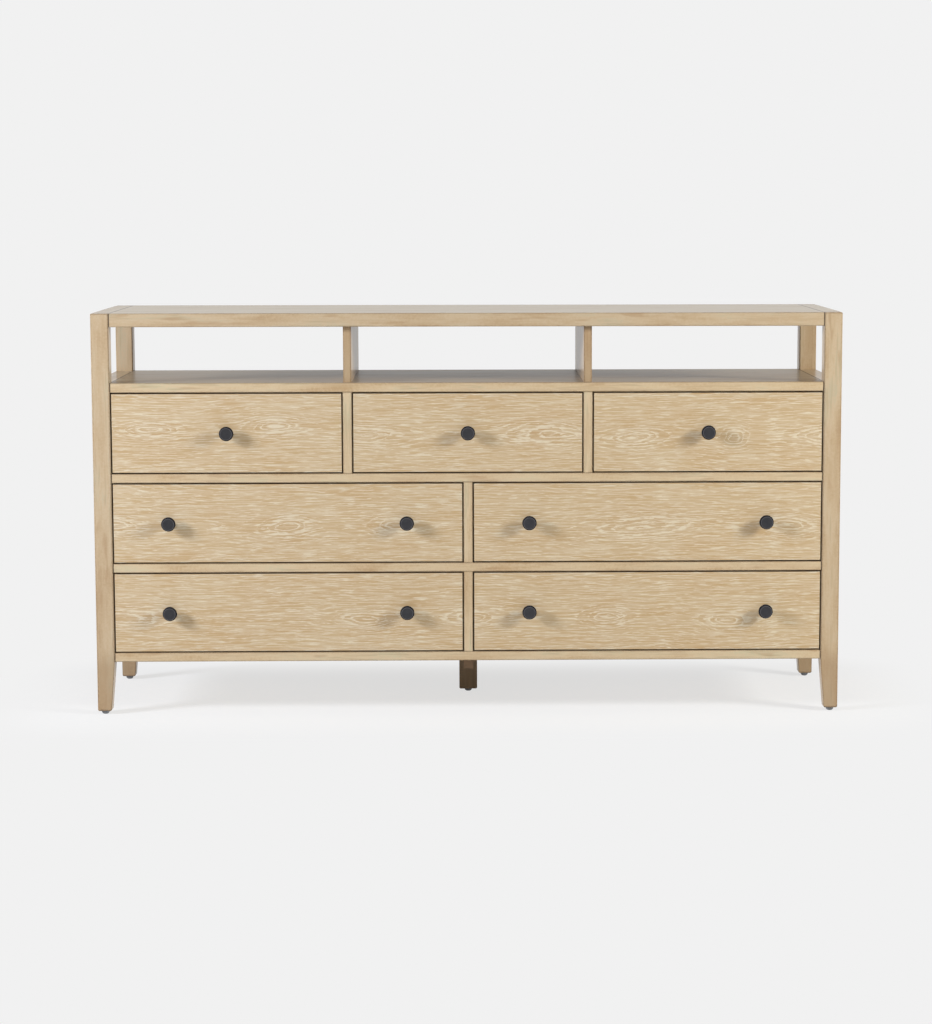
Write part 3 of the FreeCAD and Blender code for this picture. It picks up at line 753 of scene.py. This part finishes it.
# %% Plain woods
INNER_TONES = [(0.3, screen(214, 190, 150)), (0.7, screen(230, 210, 174))]
RUNNER_TONES = [(0.3, screen(196, 160, 116)), (0.7, screen(212, 180, 136))]
PLY_TONES = [(0.3, screen(206, 178, 136)), (0.7, screen(222, 198, 158))]
BACK_TONES = [(0.3, screen(190, 164, 128)), (0.7, screen(206, 182, 146))]
DARK_TONES = [(0.3, screen(124, 105, 84)), (0.7, screen(156, 136, 110))]
PALE_END = (screen(190, 154, 106), 0.7)
DARK_END = (screen(134, 108, 84), 0.7)
BROAD_GRAIN = ((2.5, 24, 24), 3)
FINE_GRAIN = ((9, 190, 190), 3)
SANDING = ((300, 300, 300), 3)
SANDED_ROUGHNESS = (0.5, 0.7)
SANDED_RELIEF = (0.2, 0.2 * MM)


def straight_grain(finish, direction, tones, end_stain=PALE_END):
    """The colour of a plain board whose grain runs one way, darker where it is cut across."""
    grain = grain_point(finish, direction)
    broad = finish.noise(grain, *BROAD_GRAIN)
    streak = finish.noise(grain, *FINE_GRAIN)
    colour = finish.ramp(broad * 0.5 + streak * 0.5, tones)
    return finish.stain(colour, end_grain(finish, direction), *end_stain)


def sanded(finish, colour):
    """A bare sanded surface of the given colour."""
    fibre = finish.noise(finish.point, *SANDING)
    return finish.surface(
        {
            "Base Color": colour,
            "Roughness": finish.between(fibre, *SANDED_ROUGHNESS),
            "Specular IOR Level": DULL_SHINE,
            "Normal": finish.relief(fibre, *SANDED_RELIEF),
        }
    )


def plain_wood(name, direction, tones, end_stain=PALE_END):
    """A straight-grained wood between two tones."""
    finish = Finish(name)
    return sanded(finish, straight_grain(finish, direction, tones, end_stain))


# %% [markdown]
# A drawer box is one piece of joinery with two grains. The sides run from front to back, the
# back board runs across, and in the corners their tails and pins take turns. The finish works
# out from the joint's own pitch and slope which board a point belongs to, gives it that board's
# grain, and draws the thin seam between them.

# %% Dovetailed boxes
TAIL_COUNT = 4
TAIL_SHARE = 0.62
TAIL_SLOPE = 0.125
SIDE_THICKNESS = 15 * MM
BACK_THICKNESS = 12 * MM
SEAM = 0.3 * MM
SEAM_STAIN = (screen(104, 76, 46), 0.8)


def dovetailed_wood(name, node):
    """The two woods of a drawer box, and the seams of its dovetails."""
    finish = Finish(name)
    low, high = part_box(node)
    across, deep, up = finish.components(finish.point)
    behind = finish.math("GREATER_THAN", deep, high.y - BACK_THICKNESS)
    inwards = finish.math("MINIMUM", across - low.x, high.x - across)
    corner = behind * finish.math("LESS_THAN", inwards, SIDE_THICKNESS)
    pitch = (high.z - low.z) / TAIL_COUNT
    from_middle = abs(finish.math("FRACT", (up - low.z) / pitch) - 0.5) * pitch
    half_tail = pitch * TAIL_SHARE / 2 - (high.y - deep) * TAIL_SLOPE
    back_board = behind - corner * finish.math("LESS_THAN", from_middle, half_tail)
    seam = corner * finish.math("LESS_THAN", abs(from_middle - half_tail), SEAM)
    sides = straight_grain(finish, "front_to_back", INNER_TONES)
    back = straight_grain(finish, "across", INNER_TONES)
    colour = finish.blend(back_board, sides, back)
    return sanded(finish, finish.stain(colour, seam, *SEAM_STAIN))


# %% Finish the inside
inner_wood = plain_wood("inner_front_to_back", "front_to_back", INNER_TONES)
runner_wood = plain_wood("runner_wood", "front_to_back", RUNNER_TONES)
plywood = plain_wood("plywood", "across", PLY_TONES)
back_plywood = plain_wood("back_plywood", "across", BACK_TONES)
dark_upright = plain_wood("dark_upright", "upright", DARK_TONES, DARK_END)
dark_front_to_back = plain_wood("dark_front_to_back", "front_to_back", DARK_TONES, DARK_END)
for node in ("upper_partitions", "centre_partition", "cross_bearers"):
    finish_node(node, inner_wood)
finish_node("drawer_runners", runner_wood)
finish_node("bottom_panel", plywood)
finish_node("back_panel", back_plywood)
finish_node("centre_leg", dark_upright)
finish_node("centre_stretcher", dark_front_to_back)
for side in ("left", "right"):
    finish_node(f"{side}_side_panel", frame_wood(f"{side}_panel_wood", "upright", PANEL_TONES))
for drawer in HEARTS:
    finish_node(f"{drawer}_drawer_bottom", plywood)
    node = f"{drawer}_drawer_box"
    finish_node(node, dovetailed_wood(f"dovetailed_{drawer}", node))
print(len(HEARTS), "drawer boxes dovetailed")

# %% [markdown]
# ## Knobs
#
# Each knob is turned from metal: a small foot, a thin neck and a head that tapers towards the
# hand. The taper is painted near black, a painted reflection of the dim room that it looks into
# sideways, and the rounded rim of the flat face is painted bright, a painted highlight for the
# thin ring of light that it catches. Such a head is a solid of revolution, and the natural way
# to make one is a half outline that is spun round the axis. Its corners are rounded first,
# while they are still single points.

# %% Turn the knobs
# Radius, height above the front and rounding of each corner, in millimetres.
KNOB_PROFILE = [
    (0.0, 0.0, 0),
    (9.0, 0.0, 0),
    (9.0, 1.6, 0.5),
    (6.6, 3.0, 0.8),
    (5.5, 5.2, 1.2),
    (5.5, 14.0, 1.6),
    (9.0, 16.0, 2.0),
    (15.7, 16.0, 0.4),
    (16.25, 16.6, 0.4),
    (13.85, 24.1, 0.3),
    (12.95, 25.0, 0.55),
    (12.2, 24.6, 0.3),
    (0.0, 24.6, 0),
]
KNOB_STEPS = 64
CORNER_SEGMENTS = 3
JOIN_DISTANCE = 0.001 * MM
SHARP_ANGLE = math.radians(38)
FACING_FRONT = Matrix.Rotation(math.radians(90), 3, "X")


def turned(profile, steps):
    """A half outline of (radius, height, rounding), in mm, spun about the upright axis."""
    shape = bmesh.new()
    points = [shape.verts.new((radius * MM, 0, height * MM)) for radius, height, _ in profile]
    for first, second in zip(points, points[1:]):
        shape.edges.new((first, second))
    for point, (_, _, rounding) in zip(points, profile):
        if rounding:
            bmesh.ops.bevel(
                shape,
                geom=[point],
                offset=rounding * MM,
                offset_type="OFFSET",
                segments=CORNER_SEGMENTS,
                profile=0.5,
                affect="VERTICES",
                material=-1,
            )
    bmesh.ops.spin(
        shape,
        geom=shape.verts[:] + shape.edges[:],
        axis=(0, 0, 1),
        angle=math.tau,
        steps=steps,
        use_merge=True,
    )
    bmesh.ops.remove_doubles(shape, verts=shape.verts, dist=JOIN_DISTANCE)
    bmesh.ops.recalc_face_normals(shape, faces=shape.faces)
    mesh = bpy.data.meshes.new("turned")
    shape.to_mesh(mesh)
    shape.free()
    return mesh


def placed(name, pattern, facing, places, materials, body):
    """One piece made of copies of a pattern, each turned and moved to its place on a body."""
    shape = bmesh.new()
    for place in places:
        known = set(shape.verts)
        shape.from_mesh(pattern)
        new = [vert for vert in shape.verts if vert not in known]
        bmesh.ops.rotate(shape, verts=new, cent=(0, 0, 0), matrix=facing)
        bmesh.ops.translate(shape, verts=new, vec=place)
    mesh = bpy.data.meshes.new(name)
    shape.to_mesh(mesh)
    shape.free()
    for face in mesh.polygons:
        face.use_smooth = True
    mesh.set_sharp_from_angle(angle=SHARP_ANGLE)
    for material in materials:
        mesh.materials.append(material)
    piece = bpy.data.objects.new(name, mesh)
    bpy.context.scene.collection.objects.link(piece)
    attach(piece, body)
    return piece


# %% Knob metal
KNOB_FACE = [screen(60, 60, 64), screen(76, 76, 79)]
# Painted reflection: the taper near black, for the dim room that it faces sideways.
KNOB_TAPER_PAINTED_DARK = screen(30, 30, 33)
# Painted highlight: the thin bright ring on the rounded rim of the face.
KNOB_RIM_HIGHLIGHT = screen(108, 107, 111)
KNOB_CLOUD = ((90, 90, 90), 2)
KNOB_SPECK = ((2600, 2600, 2600), 1)
TAPER_MOTTLE = ((400, 400, 400), 2)
KNOB_SPACING = 533 * MM
RIM_OUT = (24.7 * MM, 24.75 * MM)
KNOB_ROUGHNESS = (0.26, 0.38)
TAPER_ROUGHNESS = (0.6, 0.8)
KNOB_RELIEF = (0.12, 0.05 * MM)
TAPER_SPAN = (16.3 * MM, 24.3 * MM)


def knob_taper_painted_dark():
    """The taper painted near black, a painted reflection of the dim room it faces."""
    finish = Finish("knob_taper_painted_dark")
    mottle = finish.noise(finish.point, *TAPER_MOTTLE)
    return finish.surface(
        {
            "Base Color": finish.blend(mottle, KNOB_TAPER_PAINTED_DARK, KNOB_FACE[0]),
            "Roughness": finish.between(mottle, *TAPER_ROUGHNESS),
            "Specular IOR Level": 0.0,
        }
    )


def knob_metal():
    """Dark plated metal, with a painted highlight on the rim."""
    finish = Finish("knob_metal")
    out = FRONT_FACE - finish.components(finish.point)[1]
    cloud = finish.noise(finish.point, *KNOB_CLOUD)
    speck = finish.noise(finish.point, *KNOB_SPECK)
    colour = finish.blend(cloud, *KNOB_FACE)
    # Painted highlight on the rim.
    colour = finish.blend(finish.rise(out, *RIM_OUT), colour, KNOB_RIM_HIGHLIGHT)
    return finish.surface(
        {
            "Base Color": colour,
            "Metallic": 1.0,
            "Roughness": finish.between(cloud, *KNOB_ROUGHNESS),
            "Normal": finish.relief(speck, *KNOB_RELIEF),
        }
    )


knob_metals = [knob_metal(), knob_taper_painted_dark()]
knob_pattern = turned(KNOB_PROFILE, KNOB_STEPS)
for face in knob_pattern.polygons:
    face.material_index = int(TAPER_SPAN[0] < face.center.z < TAPER_SPAN[1])


def knob_places(drawer):
    """Where the knobs of a drawer sit: on the front's face, one in the middle or two apart."""
    low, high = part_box(f"{drawer}_drawer_front")
    middle = (low + high) / 2
    offsets = [0] if drawer.startswith("upper") else [-KNOB_SPACING / 2, KNOB_SPACING / 2]
    return [Vector((middle.x + offset, low.y, middle.z)) for offset in offsets]


for drawer in HEARTS:
    places = knob_places(drawer)
    body = f"{drawer}_drawer"
    name = f"{drawer}_turned_metal"
    knobs = placed(name, knob_pattern, FACING_FRONT, places, knob_metals, body)
    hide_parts(f"{body}_knob" if len(places) == 1 else f"{body}_knobs")
print("knob of", len(knob_pattern.polygons), "faces")

# %% [markdown]
# ## Glides and screws
#
# Under each leg sits a nail-on glide, a low dome of grey nylon, turned like the knobs but
# standing upright. Behind each knob, inside the drawer, is the head of the screw that holds
# it, and two rows of the same screws hold the back panel. Their crossed recess is too fine
# for a boolean cut to be worth it: a ring of points on a circle is joined to a ring of as many
# points on a cross, and the cross is sunk.

# %% Glides
GLIDE_RADIUS = 9.0
GLIDE_PROFILE = [
    (0.0, 0.0, 0),
    (4.5, 0.0, 0.8),
    (6.9, 1.3, 0.8),
    (8.3, 3.4, 0.8),
    (GLIDE_RADIUS, 6.2, 0.8),
    (GLIDE_RADIUS, 8.0, 0),
    (0.0, 8.0, 0),
]
GLIDE_STEPS = 32
UPRIGHT = Matrix.Identity(3)
CENTRE_LEG_SETBACK = 40 * MM
GLIDE_DARK = screen(112, 116, 122)
GLIDE_PALE = screen(150, 153, 156)
GLIDE_ROUGHNESS = (0.45, 0.65)
SCUFF_RELIEF = (0.3, 0.1 * MM)


def glide_nylon():
    """Grey nylon, scuffed where it slides."""
    finish = Finish("glide_nylon")
    scuff = finish.noise(finish.point, *SANDING)
    return finish.surface(
        {
            "Base Color": finish.blend(scuff, GLIDE_DARK, GLIDE_PALE),
            "Roughness": finish.between(scuff, *GLIDE_ROUGHNESS),
            "Normal": finish.relief(scuff, *SCUFF_RELIEF),
        }
    )


glide_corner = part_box("glides")[1]
corner_x = glide_corner.x - GLIDE_RADIUS * MM
corner_y = glide_corner.y - GLIDE_RADIUS * MM
glide_places = [Vector((x, y, 0)) for x in (-corner_x, corner_x) for y in (-corner_y, corner_y)]
glide_places.append(Vector((0, CENTRE_LEG_SETBACK, 0)))
glide_pattern = turned(GLIDE_PROFILE, GLIDE_STEPS)
domes = placed("glide_domes", glide_pattern, UPRIGHT, glide_places, [glide_nylon()], "case")
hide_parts("glides")
print("glides at", [tuple(round(c, 3) for c in place) for place in glide_places])

# %% Screws
SCREW_POINTS = 24
# Radius and height of each ring of the dome, and the cross that is sunk in it, in millimetres.
SCREW_RINGS = [(3.9, 0.0), (4.0, 0.7), (3.5, 1.6), (2.4, 2.2)]
CROSS_ARM, CROSS_HALF, CROSS_TOP, CROSS_FLOOR = 1.7, 0.45, 2.3, 1.0
FACING_BACK = Matrix.Rotation(math.radians(-90), 3, "X")
BACK_SCREW_COLUMNS = 9
BACK_SCREW_INSET = 11 * MM
STEEL_DARK = screen(150, 150, 148)
STEEL_PALE = screen(196, 196, 190)
STEEL_CLOUD = ((700, 700, 700), 2)
STEEL_ROUGHNESS = (0.28, 0.48)


def crossed_screw():
    """A domed screw head, facing up, with a cross sunk in it."""
    arm, half = CROSS_ARM, CROSS_HALF
    middle = (arm + half) / 2
    quarter = [(arm, -half), (arm, 0), (arm, half), (middle, half), (half, half), (half, middle)]
    cross = [
        Vector((x, y)) @ Matrix.Rotation(-turns * math.pi / 2, 2)
        for turns in range(4)
        for x, y in quarter
    ]
    angles = [(step - 1) * math.tau / SCREW_POINTS for step in range(SCREW_POINTS)]
    circle = [Vector((math.cos(angle), math.sin(angle))) for angle in angles]
    outlines = [([point * radius for point in circle], height) for radius, height in SCREW_RINGS]
    outlines += [(cross, CROSS_TOP), (cross, CROSS_FLOOR)]
    shape = bmesh.new()
    rings = [
        [shape.verts.new((point.x * MM, point.y * MM, height * MM)) for point in outline]
        for outline, height in outlines
    ]
    for lower, upper in zip(rings, rings[1:]):
        for step in range(SCREW_POINTS):
            following = (step + 1) % SCREW_POINTS
            shape.faces.new((lower[step], lower[following], upper[following], upper[step]))
    floor = shape.verts.new((0, 0, CROSS_FLOOR * MM))
    for step in range(SCREW_POINTS):
        shape.faces.new((rings[-1][step], rings[-1][(step + 1) % SCREW_POINTS], floor))
    mesh = bpy.data.meshes.new("crossed_screw")
    shape.to_mesh(mesh)
    shape.free()
    return mesh


def screw_steel():
    """Bright zinc-plated steel, a little dulled."""
    finish = Finish("screw_steel")
    dull = finish.noise(finish.point, *STEEL_CLOUD)
    return finish.surface(
        {
            "Base Color": finish.blend(dull, STEEL_DARK, STEEL_PALE),
            "Metallic": 1.0,
            "Roughness": finish.between(dull, *STEEL_ROUGHNESS),
        }
    )


steel = screw_steel()
screw_pattern = crossed_screw()
for drawer in HEARTS:
    back_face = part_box(f"{drawer}_drawer_front")[1].y
    places = [Vector((place.x, back_face, place.z)) for place in knob_places(drawer)]
    body = f"{drawer}_drawer"
    placed(f"{drawer}_knob_screws", screw_pattern, FACING_BACK, places, [steel], body)

back_low, back_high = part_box("back_panel")
reach = POST_FACE - BACK_SCREW_INSET
gaps = BACK_SCREW_COLUMNS - 1
columns = [-reach + 2 * reach * step / gaps for step in range(BACK_SCREW_COLUMNS)]
heights = (back_low.z + BACK_SCREW_INSET, back_high.z - BACK_SCREW_INSET)
places = [Vector((x, back_high.y, z)) for x in columns for z in heights]
placed("back_panel_screws", screw_pattern, FACING_BACK, places, [steel], "case")
print("screw of", len(screw_pattern.polygons), "faces,", len(places), "of them in the back")
